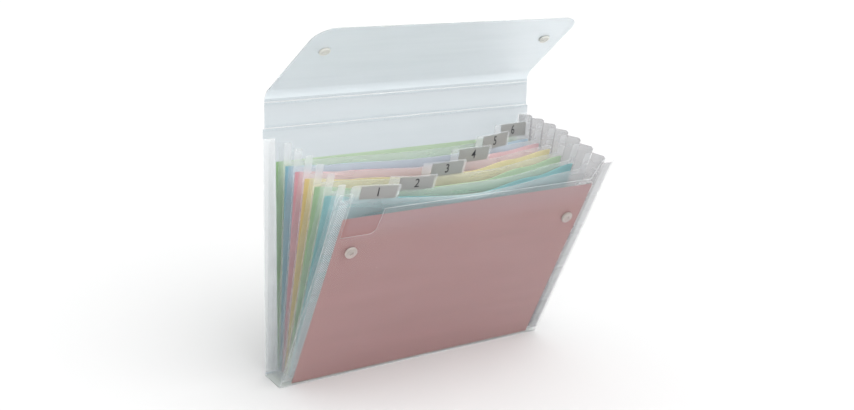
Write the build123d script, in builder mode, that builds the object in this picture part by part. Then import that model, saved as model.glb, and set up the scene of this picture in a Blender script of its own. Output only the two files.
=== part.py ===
from build123d import *
from math import cos, hypot, radians, sin, tan
import os

os.makedirs("parts", exist_ok=True)

# A4 card, landscape, one in each pocket: it gives the scale, and the walls around it follow from it.
sheet_width = 297.0
sheet_height = 210.0
sheet_thick = 0.2

# Fits between neighbours that touch on the real object, and one overrun for the cuts.
seat_gap = 0.3
skin_gap = 0.1
label_gap = 0.05
cut_over = 40.0

# Pockets: walls are numbered from 0 at the back cover to 7 at the front cover.
pocket_count = 7
pocket_pitch = 4.2
pocket_foot = 5.0
back_lean = -7.0
fan_angle = 3.886

# Dividers with a staggered index tab; ears at both sides carry the pleats up to their tops.
divider_side = 1.5
divider_rise = 4.0
divider_thick = 0.4
ear_width = 8.0
ear_rise = 19.0
ear_radius = 2.0
tab_rise = 16.0
tab_radius = 2.0
tab_inset_left = 43.0
tab_inset_right = 24.5
tab_margin_left = 10.0
tab_margin_right = 3.0
label_width = 37.0
label_height = 14.5
label_thick = 0.2
label_rise = 0.5

# Gusset: thin folded film, welded to both covers along flat flanges.
pleat_thick = 0.3
pleat_depth = 10.7
flange_width = 12.0
flange_thick = 0.25

# Outer sheet: one frosted polypropylene blank, creased into five panels.
# Each crease keeps a thin gap on both sides of its fold line.
cover_side = 1.0
cover_thick = 0.8
crease_gap = 0.47
back_rise = 10.0
spine_height = 25.0

# Front cover: raised weld bands, a lowered top edge and a thumb notch at the top left.
front_rise = 4.0
front_drop = 23.0
band_width = 15.5
band_slope = 5.0
notch_inset = 55.0
notch_draft = 2.5
notch_deep = 29.0
notch_radius = 8.0
front_radius = 3.0

# Flap: bends forward past the upper crease, then runs straight and tapers to rounded corners.
flap_side = 2.0
flap_taper = 7.5
flap_bend = 52.8
flap_bend_radius = 16.3
flap_straight = 106.0
flap_corner = 21.0

# Moulded press studs on the front cover and on the flap.
stud_inset = 32.0
stud_drop = 19.0
stud_radius = 6.2
stud_tall = 2.2
stud_round = 0.6
stud_bore = 2.2
stud_bore_deep = 1.5
shank_radius = 2.0
shank_clear = 0.1
washer_radius = 5.0
washer_thick = 0.6
flap_stud_along = 67.6
flap_stud_radius = 5.5
cap_radius = 6.0
cap_thick = 1.6

# What follows: the card sets the dividers, they set the gusset, and the gusset sets the covers.
divider_width = sheet_width + 2 * divider_side
divider_top = pocket_foot + sheet_height + divider_rise
divider_half_thick = divider_thick / 2
half_divider = divider_width / 2
ear_top = divider_top + ear_rise
tab_top = divider_top + tab_rise
tab_width = tab_margin_left + label_width + tab_margin_right
tab_first = tab_inset_left - half_divider
tab_pitch = (divider_width - tab_inset_left - tab_inset_right) / (pocket_count - 2)
label_foot = divider_top + label_rise
pleat_edge = half_divider + seat_gap
pleat_fold = pleat_edge + pleat_depth
half_width = pleat_fold + cover_side
cover_width = 2 * half_width
half_thick = cover_thick / 2
base_depth = pocket_count * pocket_pitch
half_depth = base_depth / 2
back_height = ear_top + back_rise
front_height = ear_top + front_rise
front_top = front_height - front_drop
notch_floor = front_top - notch_deep
notch_right = notch_inset - half_width
stud_height = notch_floor - stud_drop
flap_width = cover_width - 2 * flap_side
flap_end_width = flap_width - 2 * flap_taper
flap_angle = back_lean + flap_bend
flap_arc = radians(flap_bend) * flap_bend_radius
stud_reach = half_width - stud_inset


def leaning_plane(y, z, angle):
    """A plane along X whose second axis leans forward by the angle; its normal faces the front."""
    turn = radians(angle)
    return Plane(origin=(0, y, z), x_dir=(1, 0, 0), z_dir=(0, -cos(turn), -sin(turn)))


def wall_angle(index):
    return back_lean + fan_angle * index


def wall_plane(index):
    return leaning_plane(half_depth - pocket_pitch * index, half_thick, wall_angle(index))


def keep(part, name):
    part.label = name
    export_step(part, f"parts/{name}.step")


back_plane = wall_plane(0)
front_plane = wall_plane(pocket_count)

# Back cover, from the rear base crease to the lower crease of the spine.
with BuildPart() as back_cover:
    with BuildSketch(back_plane.offset(-half_thick)):
        with Locations((0, back_height / 2)):
            Rectangle(cover_width, back_height - 2 * crease_gap)
    extrude(amount=cover_thick)
keep(back_cover.part, "back_cover")

# Base panel, lying flat on the floor between the two bottom creases.
with BuildPart() as base_panel:
    with BuildSketch(Plane.XY):
        Rectangle(cover_width, base_depth - 2 * crease_gap)
    extrude(amount=cover_thick)
keep(base_panel.part, "base_panel")

# Front cover, pierced for the shanks of its two press studs.
band_inner = half_width - band_width
front_outline = [
    (-half_width, crease_gap),
    (half_width, crease_gap),
    (half_width, front_height),
    (band_inner, front_height),
    (band_inner - band_slope, front_top),
    (notch_right, front_top),
    (notch_right - notch_draft, notch_floor),
    (-band_inner, notch_floor),
    (-band_inner, front_height),
    (-half_width, front_height),
]
with BuildPart() as front_cover:
    with BuildSketch(front_plane.offset(-half_thick)) as front_sketch:
        with BuildLine():
            Polyline(*front_outline, close=True)
        make_face()
        inner = front_sketch.vertices().sort_by_distance((notch_right - notch_draft, notch_floor))[0]
        fillet(inner, radius=notch_radius)
        fillet(front_sketch.vertices().group_by(Axis.Y)[-1], radius=front_radius)
        with Locations((-stud_reach, stud_height), (stud_reach, stud_height)):
            Circle(shank_radius + shank_clear, mode=Mode.SUBTRACT)
    extrude(amount=cover_thick)
keep(front_cover.part, "front_cover")

# Spine, the strip between the two upper creases.
with BuildPart() as spine:
    with BuildSketch(back_plane.offset(-half_thick)):
        with Locations((0, back_height + spine_height / 2)):
            Rectangle(flap_width, spine_height - 2 * crease_gap)
    extrude(amount=cover_thick)
keep(spine.part, "spine")

# Flap: its side profile is drawn in the YZ plane, pulled across X and trimmed to the tapering outline.
lean = radians(back_lean)
tilt = radians(flap_angle)
crease_y = half_depth - (back_height + spine_height) * sin(lean)
crease_z = half_thick + (back_height + spine_height) * cos(lean)
bend_y = crease_y - flap_bend_radius * cos(lean)
bend_z = crease_z - flap_bend_radius * sin(lean)
knee_y = bend_y + flap_bend_radius * cos(tilt)
knee_z = bend_z + flap_bend_radius * sin(tilt)
flap_plane = leaning_plane(knee_y, knee_z, flap_angle)
bend_start = back_lean + crease_gap / flap_arc * flap_bend
inner_radius = flap_bend_radius - half_thick
outer_radius = flap_bend_radius + half_thick
bend_turn = flap_angle - bend_start
outline_foot = -flap_arc
flap_outline = [
    (-flap_width / 2, outline_foot - cut_over),
    (flap_width / 2, outline_foot - cut_over),
    (flap_width / 2, outline_foot),
    (flap_end_width / 2, flap_straight),
    (-flap_end_width / 2, flap_straight),
    (-flap_width / 2, outline_foot),
]
with BuildPart() as flap:
    with BuildSketch(Plane.YZ):
        with BuildLine():
            outer = CenterArc((bend_y, bend_z), outer_radius, bend_start, bend_turn)
            Line(outer @ 1, outer @ 1 + Vector(-sin(tilt), cos(tilt)) * flap_straight)
            inner_arc = CenterArc((bend_y, bend_z), inner_radius, bend_start, bend_turn)
            Line(inner_arc @ 1, inner_arc @ 1 + Vector(-sin(tilt), cos(tilt)) * flap_straight)
            Line(outer @ 0, inner_arc @ 0)
            Line(
                outer @ 1 + Vector(-sin(tilt), cos(tilt)) * flap_straight,
                inner_arc @ 1 + Vector(-sin(tilt), cos(tilt)) * flap_straight,
            )
        make_face()
    extrude(amount=flap_width, both=True)
    with BuildSketch(flap_plane) as flap_sketch:
        with BuildLine():
            Polyline(*flap_outline, close=True)
        make_face()
        fillet(flap_sketch.vertices().group_by(Axis.Y)[-1], radius=flap_corner)
        with Locations((-stud_reach, flap_stud_along), (stud_reach, flap_stud_along)):
            Circle(shank_radius + shank_clear, mode=Mode.SUBTRACT)
    extrude(amount=cut_over, both=True, mode=Mode.INTERSECT)
keep(flap.part, "flap")

# Dividers, their labels and the card that leans on each wall.
for number in range(1, pocket_count):
    wall = wall_plane(pocket_count - number)
    label_x = tab_first + tab_pitch * (number - 1)
    tab_x = label_x + (tab_margin_right - tab_margin_left) / 2
    ear_x = half_divider - ear_width / 2
    with BuildPart() as divider:
        with BuildSketch(wall.offset(-divider_half_thick)):
            with Locations((0, (pocket_foot + divider_top) / 2)):
                Rectangle(divider_width, divider_top - pocket_foot)
            with Locations((-ear_x, (pocket_foot + ear_top) / 2), (ear_x, (pocket_foot + ear_top) / 2)):
                RectangleRounded(ear_width, ear_top - pocket_foot, ear_radius)
            with Locations((tab_x, (pocket_foot + tab_top) / 2)):
                RectangleRounded(tab_width, tab_top - pocket_foot, tab_radius)
        extrude(amount=divider_thick)
    keep(divider.part, f"divider_{number}")
    with BuildPart() as tab_label:
        with BuildSketch(wall.offset(divider_half_thick + label_gap)):
            with Locations((label_x, label_foot + label_height / 2)):
                Rectangle(label_width, label_height)
        extrude(amount=label_thick)
    keep(tab_label.part, f"tab_label_{number}")

# A4 card: the front card stands on the base, behind the stud washers; each other card leans on the wall behind it.
front_card_back = -(half_thick + skin_gap + washer_thick + seat_gap + sheet_thick)
front_card_foot = cover_thick + seat_gap
for number in range(1, pocket_count + 1):
    card_foot = pocket_foot
    if number == 1:
        card_plane = front_plane.offset(front_card_back)
        card_foot = front_card_foot
    elif number == pocket_count:
        card_plane = back_plane.offset(half_thick + flange_thick + label_gap)
    else:
        card_plane = wall_plane(pocket_count - number).offset(divider_half_thick + seat_gap)
    with BuildPart() as sheet:
        with BuildSketch(card_plane):
            with Locations((0, card_foot + sheet_height / 2)):
                Rectangle(sheet_width, sheet_height)
        extrude(amount=sheet_thick)
    keep(sheet.part, f"sheet_{number}")

# Weld flanges: flat strips of gusset film on the inside of both covers.
flange_x = pleat_fold - flange_width / 2
flange_middle = (pocket_foot + ear_top) / 2
for side_name, side in (("left", -1), ("right", 1)):
    for cover_name, flange_plane in (
        ("back", back_plane.offset(half_thick)),
        ("front", front_plane.offset(-half_thick - flange_thick)),
    ):
        with BuildPart() as flange:
            with BuildSketch(flange_plane):
                with Locations((side * flange_x, flange_middle)):
                    Rectangle(flange_width, ear_top - pocket_foot)
            extrude(amount=flange_thick)
        keep(flange.part, f"{cover_name}_flange_{side_name}")

# Gusset pleats: one outward fold for each pocket and side, narrow at the foot and open at the top.
cover_skin = half_thick + flange_thick + skin_gap
divider_skin = divider_half_thick + skin_gap


def wall_offset(index, middle, height):
    """How far wall number index stands behind the pocket's middle plane, at a height along that plane."""
    mid_turn = radians(wall_angle(middle))
    turn = radians(wall_angle(index) - wall_angle(middle))
    start = pocket_pitch * (middle - index)
    rise = (height + start * sin(mid_turn)) / cos(turn)
    return start * cos(mid_turn) - rise * sin(turn)


def pleat_section(index, height, side):
    """Corners of the folded film across the pocket in front of a wall, at one height."""
    middle = index + 1 / 2
    back = wall_offset(index, middle, height)
    front = wall_offset(index + 1, middle, height)
    back -= cover_skin if index == 0 else divider_skin
    front += cover_skin if index + 1 == pocket_count else divider_skin
    centre = (back + front) / 2
    half = (back - front) / 2
    slant = hypot(pleat_depth, half)
    film_rise = pleat_thick * slant / pleat_depth
    film_run = pleat_thick * slant / half
    return [
        (side * pleat_edge, back),
        (side * pleat_fold, centre),
        (side * pleat_edge, front),
        (side * pleat_edge, front + film_rise),
        (side * (pleat_fold - film_run), centre),
        (side * pleat_edge, back - film_rise),
    ]


def section_plane(index, height):
    """The plane across a pocket at a height along its middle; the second axis points to the back."""
    middle = index + 1 / 2
    turn = radians(wall_angle(middle))
    foot_y = half_depth - pocket_pitch * middle
    centre = (0, foot_y - height * sin(turn), half_thick + height * cos(turn))
    return Plane(origin=centre, x_dir=(1, 0, 0), z_dir=(0, -sin(turn), cos(turn)))


for side_name, side in (("left", -1), ("right", 1)):
    for index in range(pocket_count):
        with BuildPart() as pleat:
            for height in (pocket_foot, ear_top):
                with BuildSketch(section_plane(index, height)):
                    with BuildLine():
                        Polyline(*pleat_section(index, height, side), close=True)
                    make_face()
            loft(ruled=True)
        keep(pleat.part, f"{side_name}_pleat_{pocket_count - index}")

# Press studs: a bored ring with a shank through the front cover, held by a washer behind it.
for side_name, side in (("left", -1), ("right", 1)):
    spot = (side * stud_reach, stud_height)
    with BuildPart() as front_stud:
        with BuildSketch(front_plane.offset(half_thick)):
            with Locations(spot):
                Circle(stud_radius)
        extrude(amount=stud_tall)
        fillet(front_stud.edges().filter_by(GeomType.CIRCLE).sort_by_distance(front_plane.offset(stud_tall
            + half_thick).from_local_coords((spot[0], spot[1], 0)))[0], radius=stud_round)
        with BuildSketch(front_plane.offset(half_thick + stud_tall)):
            with Locations(spot):
                Circle(stud_bore)
        extrude(amount=-stud_bore_deep, mode=Mode.SUBTRACT)
        with BuildSketch(front_plane.offset(half_thick)):
            with Locations(spot):
                Circle(shank_radius)
        extrude(amount=-(cover_thick + skin_gap + washer_thick))
    keep(front_stud.part, f"front_stud_{side_name}")
    with BuildPart() as front_washer:
        with BuildSketch(front_plane.offset(-half_thick)):
            with Locations(spot):
                Circle(washer_radius)
                Circle(shank_radius + shank_clear, mode=Mode.SUBTRACT)
        extrude(amount=-washer_thick)
    keep(front_washer.part, f"front_washer_{side_name}")

# The flap's studs face the front cover when the flap is shut; their shanks pass into caps on the outside.
for side_name, side in (("left", -1), ("right", 1)):
    spot = (side * stud_reach, flap_stud_along)
    with BuildPart() as flap_stud:
        with BuildSketch(flap_plane.offset(half_thick)):
            with Locations(spot):
                Circle(flap_stud_radius)
        extrude(amount=stud_tall)
        fillet(flap_stud.edges().filter_by(GeomType.CIRCLE).sort_by_distance(flap_plane.offset(stud_tall
            + half_thick).from_local_coords((spot[0], spot[1], 0)))[0], radius=stud_round)
        with BuildSketch(flap_plane.offset(half_thick)):
            with Locations(spot):
                Circle(shank_radius)
        extrude(amount=-(cover_thick + cap_thick / 2))
    keep(flap_stud.part, f"flap_stud_{side_name}")
    with BuildPart() as flap_cap:
        with BuildSketch(flap_plane.offset(-half_thick)):
            with Locations(spot):
                Circle(cap_radius)
        extrude(amount=-cap_thick)
        with BuildSketch(flap_plane.offset(-half_thick)):
            with Locations(spot):
                Circle(shank_radius + shank_clear)
        extrude(amount=-(cap_thick / 2 + skin_gap), mode=Mode.SUBTRACT)
    keep(flap_cap.part, f"flap_cap_{side_name}")
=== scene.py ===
import math

import bmesh
import bpy
from mathutils import Matrix, Vector


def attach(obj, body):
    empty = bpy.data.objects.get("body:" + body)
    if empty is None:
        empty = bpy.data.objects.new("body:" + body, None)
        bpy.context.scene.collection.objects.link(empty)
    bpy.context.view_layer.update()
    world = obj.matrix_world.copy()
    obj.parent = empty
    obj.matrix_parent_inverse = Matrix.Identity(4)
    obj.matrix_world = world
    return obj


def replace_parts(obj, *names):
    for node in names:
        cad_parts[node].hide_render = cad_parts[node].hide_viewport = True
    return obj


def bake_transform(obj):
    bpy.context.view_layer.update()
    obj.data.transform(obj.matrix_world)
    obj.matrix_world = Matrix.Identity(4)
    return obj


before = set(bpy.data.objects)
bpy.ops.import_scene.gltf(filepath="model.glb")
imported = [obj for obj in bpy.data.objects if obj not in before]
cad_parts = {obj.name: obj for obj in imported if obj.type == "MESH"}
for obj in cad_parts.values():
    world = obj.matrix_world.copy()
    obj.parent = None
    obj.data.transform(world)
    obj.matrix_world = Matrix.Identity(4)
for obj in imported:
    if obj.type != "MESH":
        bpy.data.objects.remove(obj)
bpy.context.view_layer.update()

# Back cover and base: panels of one blank of 0.8 mm polypropylene sheet that wraps the whole file. The sheet is
# extruded and rolled with a frosted grain, die-cut and creased; it stands on the base, and the seven pockets
# open like a fan above it, between eight walls: wall 0 is the back cover, wall 7 the front cover.
MM = 0.001
POCKETS = 7
BACK_LEAN = math.radians(-7.0)
FAN_STEP = math.radians(3.886)
FOOT_PITCH = 4.2
BASE_DEPTH = POCKETS * FOOT_PITCH
FOOT_LEVEL = 0.4
COVER_HALF, COVER_THICK = 162.0, 0.8
BACK_TALL = 248.0
CREASE_GAP, CREASE_BAND, CREASE_STEP, PRESSED_SHARE = 0.47, 3.2, 0.15, 0.66
WELD_INNER, WELD_TOP = 149.0, 238.0
EDGE_ROUND, EDGE_STEPS = 0.12, 2
CORNER_ROUND, CORNER_STEPS = 0.4, 8


def on_wall(wall, x, up, out):
    """A point of a wall, from millimetres to metres: up along the wall and out in front of its middle."""
    turn = BACK_LEAN + FAN_STEP * wall
    y = BASE_DEPTH / 2 - FOOT_PITCH * wall - up * math.sin(turn) - out * math.cos(turn)
    z = FOOT_LEVEL + up * math.cos(turn) - out * math.sin(turn)
    return Vector((x, y, z)) * MM


def pressed(out, up, creases):
    """The sheet is pressed to two thirds of its thickness within a crease band."""
    near = any(abs(up - crease) < CREASE_BAND for crease in creases)
    return (out - COVER_THICK / 2) * (PRESSED_SHARE if near else 1.0)


def band_cuts(crease, *sides):
    """Two cuts close together at a crease band's edge, so that the sheet steps down there."""
    return [crease + side * (CREASE_BAND + step) for side in sides for step in (-CREASE_STEP, CREASE_STEP)]


def oblong(low, high, foot, top):
    """The outline of a plain panel in the flat, from side to side and from foot to top."""
    return [(low, foot), (high, foot), (high, top), (low, top)]


def rounded(corners):
    """An outline in the flat; each corner is x, up and the radius that its die leaves there."""
    points = []
    for index, (x, up, radius) in enumerate(corners):
        corner = Vector((x, up))
        if radius <= 0:
            points.append(corner)
            continue
        before = (Vector(corners[index - 1][:2]) - corner).normalized()
        after = (Vector(corners[(index + 1) % len(corners)][:2]) - corner).normalized()
        half = before.angle(after) / 2
        centre = corner + (before + after).normalized() * (radius / math.sin(half))
        first = corner + before * (radius / math.tan(half)) - centre
        last = corner + after * (radius / math.tan(half)) - centre
        sweep = -first.angle_signed(last)
        points += [centre + Matrix.Rotation(sweep * step / CORNER_STEPS, 2) @ first
                   for step in range(CORNER_STEPS + 1)]
    return [(point.x, point.y) for point in points]


def new_object(name, data):
    """An object in the scene. A piece stays at the origin, with its place in its mesh."""
    made = bpy.data.objects.new(name, data)
    bpy.context.scene.collection.objects.link(made)
    return made


def new_piece(name, work, finishes):
    """Turns finished mesh work into an object; a shape that came out inside out is turned round first."""
    if work.calc_volume(signed=True) < 0:
        bmesh.ops.reverse_faces(work, faces=work.faces[:])
    mesh = bpy.data.meshes.new(name)
    work.to_mesh(mesh)
    work.free()
    for finish in finishes:
        mesh.materials.append(finish)
    return new_object(name, mesh)


def raise_faces(work, height):
    """Gives flat faces a thickness."""
    raised = bmesh.ops.extrude_face_region(work, geom=work.faces[:])
    tops = [item for item in raised["geom"] if isinstance(item, bmesh.types.BMVert)]
    bmesh.ops.translate(work, verts=tops, vec=(0, 0, height))


CUT_WITHIN = 1e-6
RIM_ANGLE, SHARP_ANGLE, FACE_LEVEL = 1.2, 0.3, 0.9


def sheet_piece(name, outline, thick, place, finishes, cuts_x=(), cuts_up=(), bands=(), edge_round=0.0, half=0,
                margin=math.inf):
    """A sheet die-cut to an outline, divided so that it can bend, thickened and laid in place. Its faces take
    the first finish, its cut edges the second, its pressed bands the third and its welded margins the fourth.
    With half, only the left half (-1) or the right half (1) is kept."""
    work = bmesh.new()
    work.faces.new([work.verts.new((x, up, 0)) for x, up in outline])
    cuts = [((value, 0, 0), (1, 0, 0), False) for value in cuts_x]
    cuts += [((0, value, 0), (0, 1, 0), False) for value in cuts_up]
    cuts += [((0, 0, 0), (-half, 0, 0), True)] if half else []
    for spot, normal, drop in cuts:
        every = work.verts[:] + work.edges[:] + work.faces[:]
        bmesh.ops.bisect_plane(work, geom=every, dist=CUT_WITHIN, plane_co=spot, plane_no=normal,
                               clear_outer=drop)
    raise_faces(work, thick)
    bmesh.ops.recalc_face_normals(work, faces=work.faces[:])
    if edge_round:
        rims = [edge for edge in work.edges
                if edge.calc_face_angle(0) > RIM_ANGLE and edge.verts[0].co.z == edge.verts[1].co.z]
        bmesh.ops.bevel(work, geom=rims, offset=edge_round, segments=EDGE_STEPS, profile=0.5, affect="EDGES")
    flat = work.loops.layers.uv.new("flat")
    for face in work.faces:
        face.normal_update()
        middle = face.calc_center_median()
        if abs(face.normal.z) < FACE_LEVEL:
            face.material_index = 1
        elif any(low < middle.y < high for low, high in bands):
            face.material_index = 2
        elif abs(middle.x) > margin and middle.y < WELD_TOP:
            face.material_index = 3
        face.smooth = True
        for loop in face.loops:
            loop[flat].uv = (loop.vert.co.x * MM, loop.vert.co.y * MM)
    for edge in work.edges:
        edge.smooth = edge.calc_face_angle(0) < SHARP_ANGLE
    for vert in work.verts:
        vert.co = place(*vert.co)
    return new_piece(name, work, finishes)


def linear(hex_colour):
    """An sRGB hex colour as the linear colour that shaders take."""
    parts = [int(hex_colour[index:index + 2], 16) / 255 for index in (1, 3, 5)]
    return [part / 12.92 if part <= 0.04045 else ((part + 0.055) / 1.055) ** 2.4 for part in parts] + [1.0]


def add(tree, kind, settings=None, links=None):
    """One node with its settings, and links into its sockets."""
    node = tree.nodes.new(kind)
    for name, value in (settings or {}).items():
        if isinstance(name, str) and hasattr(node, name):
            setattr(node, name, value)
        else:
            node.inputs[name].default_value = value
    for name, socket in (links or {}).items():
        tree.links.new(socket, node.inputs[name])
    return node


def new_finish(name):
    """An empty material and its node tree."""
    finish = bpy.data.materials.new(name)
    finish.use_nodes = True
    finish.node_tree.nodes.clear()
    return finish, finish.node_tree


# Frosted polypropylene: what touches it shows clearly, and what stands behind it fades. The rolled grain is about
# 0.1 mm and is drawn at 0.9 mm so that it shows; the flow lines of the extruder are 14 mm apart and long.
POLYPROPYLENE_IOR = 1.49
GRAIN_MM, FLOW_MM, FLOW_STRETCH = 0.9, 14.0, 0.12
HAZE_SWING, ROUGH_SWING, GRAIN_BUMP, GRAIN_RISE_MM = 0.04, 0.02, 0.003, 0.2


def frosted(name, tint, shade, alpha, roughness, transmission):
    """A frosted finish: its colour and haze drift along the flow lines, its roughness with the grain."""
    finish, tree = new_finish(name)
    where = add(tree, "ShaderNodeTexCoord")
    along = add(tree, "ShaderNodeMapping", {"Scale": (FLOW_STRETCH, 1.0, 1.0)}, {"Vector": where.outputs["Object"]})
    flow = add(tree, "ShaderNodeTexNoise", {"Scale": 1 / (FLOW_MM * MM), "Detail": 3.0},
               {"Vector": along.outputs["Vector"]})
    grain = add(tree, "ShaderNodeTexNoise", {"Scale": 1 / (GRAIN_MM * MM), "Detail": 2.0},
                {"Vector": where.outputs["Object"]})
    colour = add(tree, "ShaderNodeMix", {"data_type": "RGBA", 6: linear(tint), 7: linear(shade)},
                 {"Factor": flow.outputs["Fac"]})
    haze = add(tree, "ShaderNodeMapRange", {"To Min": alpha - HAZE_SWING, "To Max": alpha + HAZE_SWING},
               {"Value": flow.outputs["Fac"]})
    rough = add(tree, "ShaderNodeMapRange", {"To Min": roughness - ROUGH_SWING, "To Max": roughness + ROUGH_SWING},
                {"Value": grain.outputs["Fac"]})
    bump = add(tree, "ShaderNodeBump", {"Strength": GRAIN_BUMP, "Distance": GRAIN_RISE_MM * MM},
               {"Height": grain.outputs["Fac"]})
    shader = add(tree, "ShaderNodeBsdfPrincipled", {"IOR": POLYPROPYLENE_IOR, "Transmission Weight": transmission},
                 {"Base Color": colour.outputs[2], "Alpha": haze.outputs["Result"],
                  "Roughness": rough.outputs["Result"], "Normal": bump.outputs["Normal"]})
    add(tree, "ShaderNodeOutputMaterial", None, {"Surface": shader.outputs["BSDF"]})
    return finish


# Die-cut edges are painted whiter, a painted highlight for the light that they gather; creases are pressed clearer.
# The welded margins turn milky and are painted lighter still, against the shade seen through them. The base is
# painted as a milky, nearly opaque copy of the sheet, for the light that the walls around it scatter down.
frosted_sheet = frosted("frosted_polypropylene_sheet", "#CED9DD", "#D4DADF",
                        alpha=0.85, roughness=0.3, transmission=0.93)
# Painted highlight: cut edges are painted whiter for the light that they gather.
cut_edge = frosted("die_cut_polypropylene_edge", "#EEF3F4", "#F2F5F6",
                   alpha=0.5, roughness=0.35, transmission=0.4)
pressed_crease = frosted("pressed_polypropylene_crease", "#CAD5DA", "#C9D2D8",
                         alpha=0.85, roughness=0.28, transmission=0.9)
# Welded margins: milky from the weld, and painted lighter as well, against the shade seen through them.
weld_margin = frosted("welded_margin_painted_lighter", "#EAEFF1", "#EEF2F4",
                      alpha=0.34, roughness=0.35, transmission=0.5)
# Painted light: the base is a milky, nearly opaque copy of the sheet, standing for the light scattered down onto it.
base_face = frosted("frosted_polypropylene_base", "#C8CFCC", "#CCD2CF",
                    alpha=0.92, roughness=0.35, transmission=0.1)
COVER_FINISHES = (frosted_sheet, cut_edge, pressed_crease)

back_outline = rounded([(-COVER_HALF, CREASE_GAP, 0), (COVER_HALF, CREASE_GAP, 0),
                        (COVER_HALF, BACK_TALL - CREASE_GAP, CORNER_ROUND),
                        (-COVER_HALF, BACK_TALL - CREASE_GAP, CORNER_ROUND)])
back_cover = sheet_piece(
    "back_cover_sheet", back_outline, COVER_THICK,
    lambda x, up, out: on_wall(0, x, up, pressed(out, up, (0.0, BACK_TALL))), COVER_FINISHES + (weld_margin,),
    cuts_x=(-WELD_INNER, WELD_INNER), cuts_up=band_cuts(0.0, 1) + [WELD_TOP] + band_cuts(BACK_TALL, -1),
    bands=((0.0, CREASE_BAND), (BACK_TALL - CREASE_BAND, BACK_TALL)), edge_round=EDGE_ROUND, margin=WELD_INNER)
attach(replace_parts(back_cover, "back_cover"), "back")

base_panel = sheet_piece(
    "base_panel_sheet", oblong(-COVER_HALF, COVER_HALF, CREASE_GAP, BASE_DEPTH - CREASE_GAP), COVER_THICK,
    lambda x, deep, out: Vector((x, BASE_DEPTH / 2 - deep, out)) * MM, (base_face, cut_edge), edge_round=EDGE_ROUND)
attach(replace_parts(base_panel, "base_panel"), "back")

# Spine: the strip of the same blank that lies over the pockets when the file is shut. It is free to turn at two
# pressed creases, each drawn as a thin bead along the fold, painted bright as a highlight, as the two base creases
# are.
SPINE_HALF, SPINE_TALL = 160.0, 25.0
SPINE_TOP = BACK_TALL + SPINE_TALL
spine = sheet_piece(
    "spine_sheet", oblong(-SPINE_HALF, SPINE_HALF, BACK_TALL + CREASE_GAP, SPINE_TOP - CREASE_GAP), COVER_THICK,
    lambda x, up, out: on_wall(0, x, up, pressed(out, up, (BACK_TALL, SPINE_TOP))), COVER_FINISHES,
    cuts_up=band_cuts(BACK_TALL, 1) + band_cuts(SPINE_TOP, -1),
    bands=((BACK_TALL, BACK_TALL + CREASE_BAND), (SPINE_TOP - CREASE_BAND, SPINE_TOP)), edge_round=EDGE_ROUND)
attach(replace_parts(spine, "spine"), "spine")

BEAD_RADIUS, BEAD_LIFT, BEAD_SIDES = CREASE_GAP * 0.9, 0.03, 12


def crease_bead(name, y, z, half, body):
    """A thin round bead along a crease; its middle is in metres, its half length in millimetres."""
    work = bmesh.new()
    bmesh.ops.create_circle(work, cap_ends=True, segments=BEAD_SIDES, radius=BEAD_RADIUS * MM)
    raise_faces(work, 2 * half * MM)
    bmesh.ops.recalc_face_normals(work, faces=work.faces[:])
    for face in work.faces:
        face.smooth = len(face.verts) == 4
    for vert in work.verts:
        vert.co = (vert.co.z - half * MM, y + vert.co.x, z + vert.co.y)
    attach(new_piece(name, work, (cut_edge,)), body)


lower_crease, upper_crease = on_wall(0, 0, BACK_TALL, 0), on_wall(0, 0, SPINE_TOP, 0)
crease_bead("lower_crease", lower_crease.y, lower_crease.z, SPINE_HALF, "back")
crease_bead("upper_crease", upper_crease.y, upper_crease.z, SPINE_HALF, "spine")
for name, y in (("rear_base_crease", BASE_DEPTH / 2), ("front_base_crease", -BASE_DEPTH / 2)):
    crease_bead(name, y * MM, (FOOT_LEVEL + BEAD_LIFT) * MM, COVER_HALF, "back")

# Flap: the blank's last panel. It springs forward in a soft bend past the upper crease, then runs straight,
# tapering to two round corners. It hangs free, and its finish is a paler copy of the sheet's, painted lighter
# than the back as painted light.
lit_flap_face = frosted("frosted_flap_painted_lighter", "#E9F4F9", "#EDF5FA",
                    alpha=0.85, roughness=0.3, transmission=0.93)
FLAP_BEND, FLAP_RADIUS, FLAP_STRAIGHT = math.radians(52.8), 16.3, 106.0
FLAP_ARC = FLAP_BEND * FLAP_RADIUS
FLAP_LONG = FLAP_ARC + FLAP_STRAIGHT
FLAP_HALF, FLAP_END_HALF, FLAP_CORNER = 160.0, 152.5, 21.0
BEND_FROM, BEND_STEPS = CREASE_BAND + 0.2, 14


def on_flap(x, along, out):
    """A point of the flap: along it from the upper crease, out in front of its middle."""
    turn = BACK_LEAN + min(along / FLAP_ARC, 1.0) * FLAP_BEND
    run = max(along - FLAP_ARC, 0.0)
    reach = FLAP_RADIUS - out
    y = -FLAP_RADIUS * math.cos(BACK_LEAN) + reach * math.cos(turn) - run * math.sin(turn)
    z = -FLAP_RADIUS * math.sin(BACK_LEAN) + reach * math.sin(turn) + run * math.cos(turn)
    return upper_crease + Vector((x, y, z)) * MM


def spread(low, high, count):
    """The inner ends of equal steps from low to high."""
    return [low + (high - low) * step / count for step in range(1, count)]


flap_outline = rounded([(-FLAP_HALF, CREASE_GAP, 0), (FLAP_HALF, CREASE_GAP, 0),
                        (FLAP_END_HALF, FLAP_LONG, FLAP_CORNER), (-FLAP_END_HALF, FLAP_LONG, FLAP_CORNER)])
flap = sheet_piece(
    "flap_sheet", flap_outline, COVER_THICK,
    lambda x, along, out: on_flap(x, along, pressed(out, along, (0.0,))), (lit_flap_face, cut_edge, pressed_crease),
    cuts_up=band_cuts(0.0, 1) + spread(BEND_FROM, FLAP_ARC, BEND_STEPS) + [FLAP_ARC],
    bands=((0.0, CREASE_BAND),), edge_round=EDGE_ROUND)
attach(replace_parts(flap, "flap"), "flap")

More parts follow.
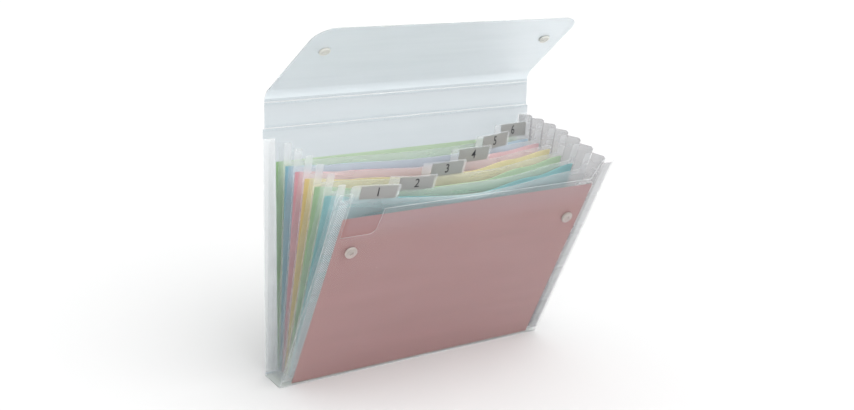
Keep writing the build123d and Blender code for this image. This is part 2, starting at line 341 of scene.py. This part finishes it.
# Front cover: the same sheet, with raised bands at both sides where the gusset is welded on, a lower edge
# between them and a thumb notch cut at the top left. The card behind touches it, so it looks nearly clear.
FRONT_TALL, FRONT_TOP = 242.0, 219.0
BAND_WIDE, BAND_SLOPE, BAND_ROUND = 15.5, 5.0, 3.0
BAND_INNER = COVER_HALF - BAND_WIDE
NOTCH_RIGHT, NOTCH_DRAFT, NOTCH_FLOOR, NOTCH_ROUND = -107.0, 2.5, 190.0, 8.0
DIE_ROUND = 0.5
front_sheet = frosted("frosted_polypropylene_front", "#F1F1F1", "#F3F2F2",
                      alpha=0.08, roughness=0.28, transmission=0.9)
front_crease = frosted("pressed_polypropylene_front_crease", "#EDE8E8", "#F0ECEC",
                       alpha=0.2, roughness=0.28, transmission=0.8)
front_outline = rounded([
    (-COVER_HALF, CREASE_GAP, 0), (COVER_HALF, CREASE_GAP, 0), (COVER_HALF, FRONT_TALL, BAND_ROUND),
    (BAND_INNER, FRONT_TALL, BAND_ROUND), (BAND_INNER - BAND_SLOPE, FRONT_TOP, DIE_ROUND),
    (NOTCH_RIGHT, FRONT_TOP, DIE_ROUND), (NOTCH_RIGHT - NOTCH_DRAFT, NOTCH_FLOOR, NOTCH_ROUND),
    (-BAND_INNER, NOTCH_FLOOR, DIE_ROUND), (-BAND_INNER, FRONT_TALL, BAND_ROUND),
    (-COVER_HALF, FRONT_TALL, BAND_ROUND)])
front_cover = sheet_piece(
    "front_cover_sheet", front_outline, COVER_THICK,
    lambda x, up, out: on_wall(POCKETS, x, up, pressed(out, up, (0.0,))), (front_sheet, cut_edge, front_crease),
    cuts_up=band_cuts(0.0, 1), bands=((0.0, CREASE_BAND),), edge_round=EDGE_ROUND)
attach(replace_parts(front_cover, "front_cover"), "front")

# Gusset: 0.3 mm frosted film at both sides, folded outwards once for each pocket and welded to the walls. Each
# fold's top corner is rounded off. The right gusset's film is a greyer, cloudier copy of the same film: painted
# shade for the shade within its many folds.
gusset_film = frosted("frosted_polypropylene_film", "#C3CACD", "#C9CED2",
                      alpha=0.07, roughness=0.25, transmission=0.3)
shaded_right_film = frosted("painted_shade_right_film", "#B8B9BB", "#BEBEC0",
                     alpha=0.5, roughness=0.25, transmission=0.2)
# Painted highlight: the film's cut edge is painted whiter for the light that it gathers.
film_edge = frosted("cut_film_edge", "#EEF1F2", "#F0F2F4",
                    alpha=0.15, roughness=0.35, transmission=0.3)
FILM_THICK, FILM_STEPS = 0.3, 8
FILM_INNER, FILM_FOLD, FOLD_SOFT = 150.3, 161.0, 0.006
POCKET_FOOT, EAR_TOP = 5.0, 238.0
COVER_SKIN, DIVIDER_SKIN = 0.75, 0.3


def wall_gap(wall, up):
    """The walls behind and in front of a pocket, as distances from its middle plane at a height along it."""
    turn = BACK_LEAN + FAN_STEP * (wall + 0.5)
    ends = []
    for offset, skin in ((-0.5, COVER_SKIN if wall == 0 else DIVIDER_SKIN),
                         (0.5, COVER_SKIN if wall == POCKETS - 1 else DIVIDER_SKIN)):
        start = -FOOT_PITCH * offset
        rise = (up + start * math.sin(turn)) / math.cos(FAN_STEP * offset)
        reach = start * math.cos(turn) - rise * math.sin(FAN_STEP * offset)
        ends.append(reach + math.copysign(skin, offset))
    return ends


def in_pocket(wall, x, across, up):
    """A point of the pocket in front of a wall, across from its middle plane and up along that."""
    turn = BACK_LEAN + FAN_STEP * (wall + 0.5)
    y = BASE_DEPTH / 2 - FOOT_PITCH * (wall + 0.5) + across * math.cos(turn) - up * math.sin(turn)
    z = FOOT_LEVEL + across * math.sin(turn) + up * math.cos(turn)
    return Vector((x, y, z)) * MM


def folded(wall, side):
    """Lays a flat film, share -1 at the wall behind, 0 at the fold and 1 at the wall in front, into its fold."""
    def place(share, up, deep):
        back, front = wall_gap(wall, up)
        half = (back - front) / 2
        soft, end = math.sqrt(share * share + FOLD_SOFT), math.sqrt(1 + FOLD_SOFT)
        x = FILM_INNER + (FILM_FOLD - FILM_INNER) * (end - soft) / (end - math.sqrt(FOLD_SOFT))
        slope = -(FILM_FOLD - FILM_INNER) * share / soft
        long = math.hypot(slope, half)
        across = (back + front) / 2 - half * share - deep * slope / long
        return in_pocket(wall, side * (x - deep * half / long), across, up)
    return place


FOLD_CORNER = [(0.22, 0.0), (0.13, 0.5), (0.05, 1.5), (0.0, 2.4), (-0.05, 1.5), (-0.13, 0.5), (-0.22, 0.0)]
FOLD_CUTS = [0.05, 0.1, 0.18, 0.3, 0.6, 0.85]
FOLD_CORNER_FOOT = EAR_TOP - 4.0
film_outline = [(-1.0, POCKET_FOOT), (1.0, POCKET_FOOT), (1.0, EAR_TOP)]
film_outline += [(share, EAR_TOP - drop) for share, drop in FOLD_CORNER] + [(-1.0, EAR_TOP)]
for side_name, side, film in (("left", -1, gusset_film), ("right", 1, shaded_right_film)):
    for wall in range(POCKETS):
        number = POCKETS - wall
        pleat = sheet_piece(
            f"{side_name}_pleat_film_{number}", film_outline, FILM_THICK, folded(wall, side), (film, film_edge),
            cuts_x=[-cut for cut in FOLD_CUTS] + [0.0] + FOLD_CUTS,
            cuts_up=spread(POCKET_FOOT, EAR_TOP, FILM_STEPS) + [FOLD_CORNER_FOOT])
        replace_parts(pleat, f"{side_name}_pleat_{number}")
        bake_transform(pleat)

# Dividers: 0.4 mm frosted sheet with an ear at each side for the welds and one index tab, staggered from left to
# right. They sag forward in the middle as the pockets open, so each half swings towards the next wall. The thin
# sheet only veils what stands behind it, and its cut edge is painted paler, a painted highlight.
divider_sheet = frosted("frosted_divider_sheet", "#F0F3F5", "#F3F4F6",
                        alpha=0.27, roughness=0.35, transmission=0.3)
divider_edge = frosted("cut_divider_edge", "#F2F6F6", "#F4F6F7",
                       alpha=0.35, roughness=0.35, transmission=0.3)
DIVIDER_HALF, DIVIDER_THICK, DIVIDER_TOP = 150.0, 0.4, 219.0
EAR_WIDE, EAR_ROUND, ROOT_ROUND = 8.0, 2.0, 0.8
EAR_INNER = DIVIDER_HALF - EAR_WIDE
TAB_FIRST, TAB_PITCH, TAB_TOP, TAB_ROUND = -107.0, 46.5, 235.0, 2.0
TAB_LEFT, TAB_RIGHT = 28.5, 21.5
SAG_SHARES = {1: 1.0, 2: 1.1, 3: 1.18, 4: 1.12, 5: 1.05, 6: 1.0}
SAG_REACH = {-1: {1: 150.0, 2: 100.0, 3: 130.0, 4: 140.0, 5: 140.0, 6: 140.0},
             1: {1: 150.0, 2: 120.0, 3: 120.0, 4: 110.0, 5: 115.0, 6: 125.0}}
SAG_STEPS, RISE_STEPS = 40, 6
FAN_AXIS = Vector((0, -BASE_DEPTH / 2, FOOT_LEVEL)) * MM


def eased(share):
    """A share from 0 to 1 that starts and stops gently."""
    share = min(max(share, 0.0), 1.0)
    return share * share * (3 - 2 * share)


def on_swung_wall(wall, x, up, out, steps):
    """A point of a wall that has swung on towards the next ones, about the front base crease."""
    return FAN_AXIS + Matrix.Rotation(FAN_STEP * steps, 3, "X") @ (on_wall(wall, x, up, out) - FAN_AXIS)


def sagging(number, lift):
    """Lays a flat piece on a divider that hangs at its sides and sags in between."""
    def place(x, up, out):
        reach = SAG_REACH[1 if x > 0 else -1][number]
        steps = SAG_SHARES[number] * eased((DIVIDER_HALF - abs(x)) / reach)
        return on_swung_wall(POCKETS - number, x, up, out + lift, steps)
    return place


def swing(piece, side):
    """Bakes the place of a piece laid on a divider into its mesh."""
    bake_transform(piece)


for number in range(1, POCKETS):
    label_x = TAB_FIRST + TAB_PITCH * (number - 1)
    left, right = label_x - TAB_LEFT, label_x + TAB_RIGHT
    corners = [(-DIVIDER_HALF, POCKET_FOOT, DIE_ROUND), (DIVIDER_HALF, POCKET_FOOT, DIE_ROUND),
               (DIVIDER_HALF, EAR_TOP, EAR_ROUND), (EAR_INNER, EAR_TOP, EAR_ROUND)]
    if right < EAR_INNER:
        corners += [(EAR_INNER, DIVIDER_TOP, ROOT_ROUND), (right, DIVIDER_TOP, ROOT_ROUND),
                    (right, TAB_TOP, TAB_ROUND)]
    else:
        corners += [(EAR_INNER, TAB_TOP, DIE_ROUND)]
    corners += [(left, TAB_TOP, TAB_ROUND), (left, DIVIDER_TOP, ROOT_ROUND), (-EAR_INNER, DIVIDER_TOP, ROOT_ROUND),
                (-EAR_INNER, EAR_TOP, EAR_ROUND), (-DIVIDER_HALF, EAR_TOP, EAR_ROUND)]
    for side_name, side in (("left", -1), ("right", 1)):
        divider = sheet_piece(
            f"divider_{number}_{side_name}", rounded(corners), DIVIDER_THICK, sagging(number, -DIVIDER_THICK / 2),
            (divider_sheet, divider_edge), cuts_x=spread(-DIVIDER_HALF, DIVIDER_HALF, SAG_STEPS),
            cuts_up=spread(POCKET_FOOT, DIVIDER_TOP, RISE_STEPS), half=side)
        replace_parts(divider, f"divider_{number}")
        swing(divider, side)

# Index labels: slips of white card on the front of each tab, printed with an upright black number, and painted
# grey as painted shade. The card's fibres are about 0.3 mm and are drawn at 1.1 mm; the ink lies unevenly on them.
LABEL_WIDE, LABEL_TALL, LABEL_THICK, LABEL_FOOT, LABEL_LIFT = 37.0, 14.5, 0.2, 219.5, 0.25
LABEL_TOP, LABEL_STEPS = LABEL_FOOT + LABEL_TALL, 8
NUMBER_SIZE, NUMBER_NARROW, NUMBER_SLANT, NUMBER_WEIGHT, NUMBER_STEPS = 13.7, 0.8, -0.06, 0.06, 6
INK_THICK, INK_GAP, INK_WITHIN = 0.06, 0.01, 1e-4
LABEL_FIBRE_MM, INK_SPECK_MM = 1.1, 0.7
shaded_label_card, tree = new_finish("white_label_painted_grey")
where = add(tree, "ShaderNodeTexCoord")
fibre = add(tree, "ShaderNodeTexNoise", {"Scale": 1 / (LABEL_FIBRE_MM * MM), "Detail": 4.0},
            {"Vector": where.outputs["Object"]})
# Painted shade: the white card's tones are painted grey.
tone = add(tree, "ShaderNodeMix", {"data_type": "RGBA", 6: linear("#959694"), 7: linear("#A3A3A1")},
           {"Factor": fibre.outputs["Fac"]})
shader = add(tree, "ShaderNodeBsdfPrincipled", {"Roughness": 0.6}, {"Base Color": tone.outputs[2]})
add(tree, "ShaderNodeOutputMaterial", None, {"Surface": shader.outputs["BSDF"]})
number_ink, tree = new_finish("black_number_ink")
where = add(tree, "ShaderNodeTexCoord")
speck = add(tree, "ShaderNodeTexNoise", {"Scale": 1 / (INK_SPECK_MM * MM)}, {"Vector": where.outputs["Object"]})
sheen = add(tree, "ShaderNodeMapRange", {"To Min": 0.4, "To Max": 0.6}, {"Value": speck.outputs["Fac"]})
shader = add(tree, "ShaderNodeBsdfPrincipled", {"Base Color": linear("#26262A")},
             {"Roughness": sheen.outputs["Result"]})
add(tree, "ShaderNodeOutputMaterial", None, {"Surface": shader.outputs["BSDF"]})


def plain_mesh(source):
    """The finished mesh of an object, which is then removed."""
    bpy.context.view_layer.update()
    mesh = bpy.data.meshes.new_from_object(source.evaluated_get(bpy.context.evaluated_depsgraph_get()))
    bpy.data.objects.remove(source)
    return mesh


for number in range(1, POCKETS):
    label_x = TAB_FIRST + TAB_PITCH * (number - 1)
    side = 1 if label_x > 0 else -1
    low, high = label_x - LABEL_WIDE / 2, label_x + LABEL_WIDE / 2
    label = sheet_piece(f"index_label_{number}", oblong(low, high, LABEL_FOOT, LABEL_TOP), LABEL_THICK,
                        sagging(number, LABEL_LIFT), (shaded_label_card, shaded_label_card), cuts_x=spread(low, high, LABEL_STEPS))
    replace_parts(label, f"tab_label_{number}")
    swing(label, side)

    words = bpy.data.curves.new(f"number_shape_{number}", "FONT")
    words.body = str(number)
    words.size, words.shear, words.offset = NUMBER_SIZE, NUMBER_SLANT, NUMBER_WEIGHT
    words.resolution_u = NUMBER_STEPS
    words.align_x, words.align_y = "CENTER", "CENTER"
    print_mesh = plain_mesh(new_object(f"number_shape_{number}", words))
    work = bmesh.new()
    work.from_mesh(print_mesh)
    bpy.data.meshes.remove(print_mesh)
    bmesh.ops.remove_doubles(work, verts=work.verts[:], dist=INK_WITHIN)
    raise_faces(work, INK_THICK)
    bmesh.ops.recalc_face_normals(work, faces=work.faces[:])
    lay = sagging(number, LABEL_LIFT + LABEL_THICK + INK_GAP)
    for vert in work.verts:
        vert.co = lay(vert.co.x * NUMBER_NARROW + label_x, vert.co.y + LABEL_FOOT + LABEL_TALL / 2, vert.co.z)
    digit = new_piece(f"index_number_{number}", work, (number_ink,))
    swing(digit, side)

# Cards: one sheet of coloured A4 card in each pocket, matt and slightly fibrous; the fibres of about 0.4 mm are
# drawn at 2.2 mm, the pulp's clouds at 55 mm. The top edges are painted paler as painted light from above, but
# not at the left ends, which keep the darker tone as painted shade under the left ears.
# The first card stands on the base behind the front cover, the last against the back; the others curl forward.
CARD_HALF, CARD_TALL, CARD_THICK, FRONT_CARD_FOOT = 148.5, 210.0, 0.2, 1.1
CARD_FIBRE_MM, CARD_CLOUD_MM, CARD_BUMP, CARD_RISE_MM = 2.2, 55.0, 0.01, 0.1
LIT_TOP_FROM, LIT_TOP_TO, SHADE_FROM, SHADE_TO = 180.0, 203.0, -145.0, -139.0
CARD_TURN = {-1: 105.0, 1: 85.0}
CARD_REST = {2: 0.0, 3: 20.0, 4: 20.0, 5: 20.0, 6: 20.0}
CARD_CURL, CARD_LIFT, CURL_STEPS = 0.97, 0.5, 12
FLAT_CARDS = {1: (POCKETS, "front", -1.6, FRONT_CARD_FOOT), POCKETS: (0, "back", 0.7, POCKET_FOOT)}
# Each card: its name, its colour, its mottled tone and the paler colour of the painted light along its top edge.
CARD_COLOURS = {1: ("rose", "#997270", "#9B7573", "#9C7D7E"), 2: ("teal", "#7DB2B5", "#86B9BC", "#9CCACD"),
                3: ("green", "#98B88C", "#A0BF95", "#C6DABE"), 4: ("yellow", "#D6BA6E", "#DBC27C", "#EBE0B8"),
                5: ("pink", "#CE8E9A", "#D49BA6", "#E8C9CE"), 6: ("blue", "#74A6B6", "#7EAEBD", "#C2D5E1"),
                7: ("leaf", "#86AE73", "#90B67E", "#CDDFC2")}


def card_finish(name, colour, mottled, lit_top):
    """Matt card: mottled by its pulp and fibres, and painted paler along its top edge as painted light, except at its
    left end.
    """
    finish, tree = new_finish(name)
    where = add(tree, "ShaderNodeTexCoord")
    fibre = add(tree, "ShaderNodeTexNoise", {"Scale": 1 / (CARD_FIBRE_MM * MM), "Detail": 5.0, "Roughness": 0.65},
                {"Vector": where.outputs["Object"]})
    cloud = add(tree, "ShaderNodeTexNoise", {"Scale": 1 / (CARD_CLOUD_MM * MM), "Detail": 2.0},
                {"Vector": where.outputs["Object"]})
    both = add(tree, "ShaderNodeMath", {"operation": "MULTIPLY_ADD", 1: 0.4},
               {0: fibre.outputs["Fac"], 2: cloud.outputs["Fac"]})
    pulp = add(tree, "ShaderNodeMapRange", {"From Min": 0.4, "From Max": 1.0}, {"Value": both.outputs["Value"]})
    tone = add(tree, "ShaderNodeMix", {"data_type": "RGBA", 6: linear(colour), 7: linear(mottled)},
               {"Factor": pulp.outputs["Result"]})
    flat = add(tree, "ShaderNodeUVMap", {"uv_map": "flat"})
    spot = add(tree, "ShaderNodeSeparateXYZ", None, {"Vector": flat.outputs["UV"]})
    # Painted light: the top edge is mixed towards the paler colour, and the left end is left out as painted shade.
    out_of_shade = add(tree, "ShaderNodeMapRange", {"From Min": SHADE_FROM * MM, "From Max": SHADE_TO * MM},
               {"Value": spot.outputs["X"]})
    high = add(tree, "ShaderNodeMapRange", {"From Min": LIT_TOP_FROM * MM, "From Max": LIT_TOP_TO * MM},
               {"Value": spot.outputs["Y"]})
    top_light = add(tree, "ShaderNodeMath", {"operation": "MULTIPLY"},
                 {0: out_of_shade.outputs["Result"], 1: high.outputs["Result"]})
    lit_tone = add(tree, "ShaderNodeMix", {"data_type": "RGBA", 7: linear(lit_top)},
               {"Factor": top_light.outputs["Value"], 6: tone.outputs[2]})
    bump = add(tree, "ShaderNodeBump", {"Strength": CARD_BUMP, "Distance": CARD_RISE_MM * MM},
               {"Height": fibre.outputs["Fac"]})
    shader = add(tree, "ShaderNodeBsdfPrincipled", {"Roughness": 0.75},
                 {"Base Color": lit_tone.outputs[2], "Normal": bump.outputs["Normal"]})
    add(tree, "ShaderNodeOutputMaterial", None, {"Surface": shader.outputs["BSDF"]})
    return finish


def curling(number):
    """A card stands at its divider's sides and curls forward to the back of the divider in front."""
    def place(x, up, out):
        turn = CARD_TURN[1 if x > 0 else -1]
        steps = eased((CARD_HALF - abs(x)) / (CARD_HALF - turn)) + eased((turn - abs(x)) / (turn - CARD_REST[number]))
        return on_swung_wall(POCKETS - number, x, up, out + CARD_LIFT, CARD_CURL * steps)
    return place


for number, (colour_name, *colours) in CARD_COLOURS.items():
    finish = card_finish(f"{colour_name}_card", *colours)
    if number in FLAT_CARDS:
        wall, body, lift, foot = FLAT_CARDS[number]
        card = sheet_piece(
            f"{colour_name}_card_sheet", oblong(-CARD_HALF, CARD_HALF, foot, foot + CARD_TALL), CARD_THICK,
            lambda x, up, out: on_wall(wall, x, up, out + lift), (finish, finish))
        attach(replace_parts(card, f"sheet_{number}"), body)
        continue
    for side_name, side in (("left", -1), ("right", 1)):
        turn, rest = CARD_TURN[side], CARD_REST[number]
        for zone, low, high, ahead, end in (("outer", turn, CARD_HALF, 0, turn), ("inner", 0.0, turn, 1, rest)):
            strip = sorted((side * low, side * high))
            card = sheet_piece(
                f"{colour_name}_card_{side_name}_{zone}", oblong(*strip, POCKET_FOOT, POCKET_FOOT + CARD_TALL),
                CARD_THICK, curling(number), (finish, finish), cuts_x=spread(*strip, CURL_STEPS),
                cuts_up=spread(POCKET_FOOT, POCKET_FOOT + CARD_TALL, RISE_STEPS))
            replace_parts(card, f"sheet_{number}")
            wall = POCKETS - number + ahead
            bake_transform(card)

# Weld flanges: strips of the gusset film laid flat on the inside of both covers and welded there. The tool
# presses a fine diamond knurl into both sheets, so the weld looks whiter and sparkles a little. The real diamonds
# are about 1 mm apart and are drawn 2.3 mm apart so that they show.
weld_film = frosted("welded_polypropylene_film", "#C4CED2", "#CCD4D8",
                    alpha=0.08, roughness=0.3, transmission=0.3)
# The right front flange takes the right gusset's film, with its painted shade.
for flange_name, film in (("back_flange_left", weld_film), ("back_flange_right", weld_film),
                          ("front_flange_left", weld_film), ("front_flange_right", shaded_right_film)):
    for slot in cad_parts[flange_name].material_slots:
        slot.material = film

KNURL_PITCH, KNURL_SIZE, KNURL_RISE = 2.3, 0.9, 0.1
KNURL_LOW, KNURL_HIGH, KNURL_WIDE, KNURL_INSET = 8.0, 236.0, 11.0, 7.0
KNURL_MIDDLE = COVER_HALF - KNURL_INSET
KNURL_COLUMNS, KNURL_ROWS = int(KNURL_WIDE / KNURL_PITCH), int((KNURL_HIGH - KNURL_LOW) / KNURL_PITCH)
knurl_finish = frosted("knurled_weld", "#E3E9EB", "#EDF1F2", alpha=0.7, roughness=0.3, transmission=0.2)
KNURL_INPUTS = {"Wide": ("Float", (KNURL_COLUMNS - 1) * KNURL_PITCH),
                "Tall": ("Float", (KNURL_ROWS - 1) * KNURL_PITCH),
                "Columns": ("Int", KNURL_COLUMNS), "Rows": ("Int", KNURL_ROWS),
                "Half pitch": ("Vector", (KNURL_PITCH / 2, KNURL_PITCH / 2, 0.0)),
                "Radius": ("Float", KNURL_SIZE / 2), "Rise": ("Float", KNURL_RISE),
                "Finish": ("Material", knurl_finish)}
knurl_tree = bpy.data.node_groups.new("diamond_knurl", "GeometryNodeTree")
knurl_tree.interface.new_socket("Geometry", in_out="OUTPUT", socket_type="NodeSocketGeometry")
for socket_name, (kind, value) in KNURL_INPUTS.items():
    knurl_tree.interface.new_socket(socket_name, in_out="INPUT", socket_type=f"NodeSocket{kind}")
sizes = add(knurl_tree, "NodeGroupInput")
grid = add(knurl_tree, "GeometryNodeMeshGrid", None, {
    "Size X": sizes.outputs["Wide"], "Size Y": sizes.outputs["Tall"],
    "Vertices X": sizes.outputs["Columns"], "Vertices Y": sizes.outputs["Rows"]})
between = add(knurl_tree, "GeometryNodeTransform", None,
              {"Geometry": grid.outputs["Mesh"], "Translation": sizes.outputs["Half pitch"]})
points = add(knurl_tree, "GeometryNodeJoinGeometry", None, {"Geometry": grid.outputs["Mesh"]})
knurl_tree.links.new(between.outputs["Geometry"], points.inputs["Geometry"])
diamond = add(knurl_tree, "GeometryNodeMeshCone", {"Vertices": 4, "Radius Top": 0.0},
              {"Radius Bottom": sizes.outputs["Radius"], "Depth": sizes.outputs["Rise"]})
dots = add(knurl_tree, "GeometryNodeInstanceOnPoints", None,
           {"Points": points.outputs["Geometry"], "Instance": diamond.outputs["Mesh"]})
real = add(knurl_tree, "GeometryNodeRealizeInstances", None, {"Geometry": dots.outputs["Instances"]})
coated = add(knurl_tree, "GeometryNodeSetMaterial", None,
             {"Geometry": real.outputs["Geometry"], "Material": sizes.outputs["Finish"]})
add(knurl_tree, "NodeGroupOutput", None, {"Geometry": coated.outputs["Geometry"]})


def knurl_band(name, wall, facing, middle, body):
    """One band of pressed diamonds, grown flat by the tree and laid on the outside of its cover."""
    blank = new_object(f"{name}_blank", bpy.data.meshes.new(f"{name}_blank"))
    grow = blank.modifiers.new("knurl", "NODES")
    grow.node_group = knurl_tree
    for item in knurl_tree.interface.items_tree:
        if item.in_out == "INPUT":
            grow[item.identifier] = KNURL_INPUTS[item.name][1]
    mesh = plain_mesh(blank)
    for vert in mesh.vertices:
        vert.co = on_wall(wall, facing * vert.co.x + middle, vert.co.y + (KNURL_LOW + KNURL_HIGH) / 2,
                          facing * (vert.co.z + COVER_THICK / 2))
    mesh.name = name
    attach(new_object(name, mesh), body)


for side_name, side in (("left", -1), ("right", 1)):
    knurl_band(f"front_knurl_{side_name}", POCKETS, 1, side * KNURL_MIDDLE, "front")
    knurl_band(f"back_knurl_{side_name}", 0, -1, side * KNURL_MIDDLE, "back")

# Press studs: injection-moulded polypropylene, a natural, nearly clear ring riveted through the front cover over
# a washer, and a cream button on the flap with a domed cap on its outside. The melt leaves clouds of about 3 mm.
STUD_REACH, STUD_UP, STUD_RUN = 130.0, 171.0, 67.6
FLAP_STUD_ALONG = FLAP_ARC + STUD_RUN
STUD_CLOUD_MM, STUD_DULLER, STUD_GLOSSIER = 2.9, 0.08, 0.05
STUD_STEPS, STUD_SHARP = 48, 0.7
FRONT_RING = [(0, 0), (6.2, 0), (6.2, 1.5), (6.0, 1.95), (5.5, 2.2), (4.3, 2.2), (4.05, 2.0), (3.4, 2.0), (3.1, 2.2),
              (2.5, 2.15), (2.2, 1.9), (2.2, 0.7), (0, 0.7)]
FLAP_BUTTON = [(0, 0), (5.5, 0), (5.5, 1.6), (5.3, 2.0), (4.8, 2.2), (3.6, 2.2), (3.3, 1.7), (2.1, 1.7), (1.9, 2.05),
               (1.4, 2.2), (0, 2.2)]
FLAP_DOME = [(0, 0), (6.0, 0), (6.0, 0.5), (5.7, 1.0), (4.8, 1.35), (3.0, 1.55), (0, 1.6)]


def moulded(name, colour, shade, alpha, roughness, transmission):
    """A moulded finish, with a cloudy colour and a gloss that the clouds change a little."""
    finish, tree = new_finish(name)
    where = add(tree, "ShaderNodeTexCoord")
    cloud = add(tree, "ShaderNodeTexNoise", {"Scale": 1 / (STUD_CLOUD_MM * MM), "Detail": 2.0},
                {"Vector": where.outputs["Object"]})
    tone = add(tree, "ShaderNodeMix", {"data_type": "RGBA", 6: linear(colour), 7: linear(shade)},
               {"Factor": cloud.outputs["Fac"]})
    gloss = add(tree, "ShaderNodeMapRange",
                {"To Min": roughness - STUD_GLOSSIER, "To Max": roughness + STUD_DULLER},
                {"Value": cloud.outputs["Fac"]})
    shader = add(tree, "ShaderNodeBsdfPrincipled",
                 {"IOR": POLYPROPYLENE_IOR, "Transmission Weight": transmission, "Alpha": alpha},
                 {"Base Color": tone.outputs[2], "Roughness": gloss.outputs["Result"]})
    add(tree, "ShaderNodeOutputMaterial", None, {"Surface": shader.outputs["BSDF"]})
    return finish


def turned(name, profile, place, finish):
    """A round moulding from its profile of radius and height, laid on the sheet that carries it."""
    work = bmesh.new()
    turns = [math.tau * step / STUD_STEPS for step in range(STUD_STEPS)]
    rings = []
    for radius, height in profile:
        around = turns if radius else turns[:1]
        rings.append([work.verts.new((radius * math.cos(turn), radius * math.sin(turn), height)) for turn in around])
    for low, high in zip(rings, rings[1:]):
        for step in range(STUD_STEPS):
            after = (step + 1) % STUD_STEPS
            corners = [low[step % len(low)], low[after % len(low)], high[after % len(high)], high[step % len(high)]]
            work.faces.new(list(dict.fromkeys(corners))).smooth = True
    bmesh.ops.recalc_face_normals(work, faces=work.faces[:])
    for edge in work.edges:
        edge.smooth = edge.calc_face_angle(0) < STUD_SHARP
    for vert in work.verts:
        vert.co = place(*vert.co)
    return new_piece(name, work, (finish,))


clear_moulding = moulded("natural_moulded_polypropylene", "#D6CFC9", "#DED8D2",
                         alpha=0.52, roughness=0.28, transmission=0.45)
cream_moulding = moulded("cream_moulded_polypropylene", "#EFEEE8", "#F4F3ED",
                         alpha=0.92, roughness=0.32, transmission=0.2)
for side_name, side in (("left", -1), ("right", 1)):
    ring = turned(f"front_stud_ring_{side_name}", FRONT_RING, lambda x, up, out: on_wall(
        POCKETS, side * STUD_REACH + x, STUD_UP + up, COVER_THICK / 2 + out), clear_moulding)
    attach(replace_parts(ring, f"front_stud_{side_name}"), "front")
    button = turned(f"flap_stud_button_{side_name}", FLAP_BUTTON, lambda x, up, out: on_flap(
        side * STUD_REACH + x, FLAP_STUD_ALONG + up, COVER_THICK / 2 + out), cream_moulding)
    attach(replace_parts(button, f"flap_stud_{side_name}"), "flap")
    dome = turned(f"flap_cap_dome_{side_name}", FLAP_DOME, lambda x, up, out: on_flap(
        side * STUD_REACH + x, FLAP_STUD_ALONG + up, -COVER_THICK / 2 - out), cream_moulding)
    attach(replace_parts(dome, f"flap_cap_{side_name}"), "flap")
    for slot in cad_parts[f"front_washer_{side_name}"].material_slots:
        slot.material = clear_moulding

# Stage: a plain pale floor of matt paper, a white studio around it with one broad soft light from the upper right
# in front, and the camera where the photograph was taken from.
FLOOR_HALF = 6.0
STUDIO_STRENGTH, LIGHT_STRENGTH, LIGHT_SPREAD = 1.15, 1.6, math.radians(70)
LIGHT_PATH = Vector((-0.35, 0.5, -1.0))
CAMERA_TURN = (70.6571, -5.162, -34.7165)
CLEAR_BOUNCES, LIGHT_BOUNCES = 64, 24
floor_finish, tree = new_finish("white_studio_floor")
shader = add(tree, "ShaderNodeBsdfPrincipled", {"Base Color": linear("#D4D4D4"), "Roughness": 0.9})
add(tree, "ShaderNodeOutputMaterial", None, {"Surface": shader.outputs["BSDF"]})
floor_mesh = bpy.data.meshes.new("studio_floor")
floor_corners = oblong(-FLOOR_HALF, FLOOR_HALF, -FLOOR_HALF, FLOOR_HALF)
floor_mesh.from_pydata([(x, y, 0) for x, y in floor_corners], [], [(0, 1, 2, 3)])
floor_mesh.materials.append(floor_finish)
floor = new_object("studio_floor", floor_mesh)

world = bpy.data.worlds.new("white_studio")
bpy.context.scene.world = world
world.use_nodes = True
backdrop = world.node_tree.nodes["Background"]
backdrop.inputs["Color"].default_value = linear("#FFFFFF")
backdrop.inputs["Strength"].default_value = STUDIO_STRENGTH

lamp = bpy.data.lights.new("overhead_softbox", "SUN")
lamp.energy = LIGHT_STRENGTH
lamp.angle = LIGHT_SPREAD
light = new_object("overhead_softbox", lamp)
light.rotation_euler = LIGHT_PATH.to_track_quat("-Z", "Y").to_euler()

lens = bpy.data.cameras.new("photo_camera")
lens.lens = 51.934
lens.sensor_width = 36.0
camera = new_object("photo_camera", lens)
camera.location = (-0.6981, -0.95054, 0.57742)
camera.rotation_euler = [math.radians(turn) for turn in CAMERA_TURN]
bpy.context.scene.camera = camera
bpy.context.scene.view_settings.view_transform = "Standard"
bpy.context.scene.cycles.transparent_max_bounces = CLEAR_BOUNCES
bpy.context.scene.cycles.max_bounces = LIGHT_BOUNCES
bpy.context.scene.cycles.transmission_bounces = LIGHT_BOUNCES
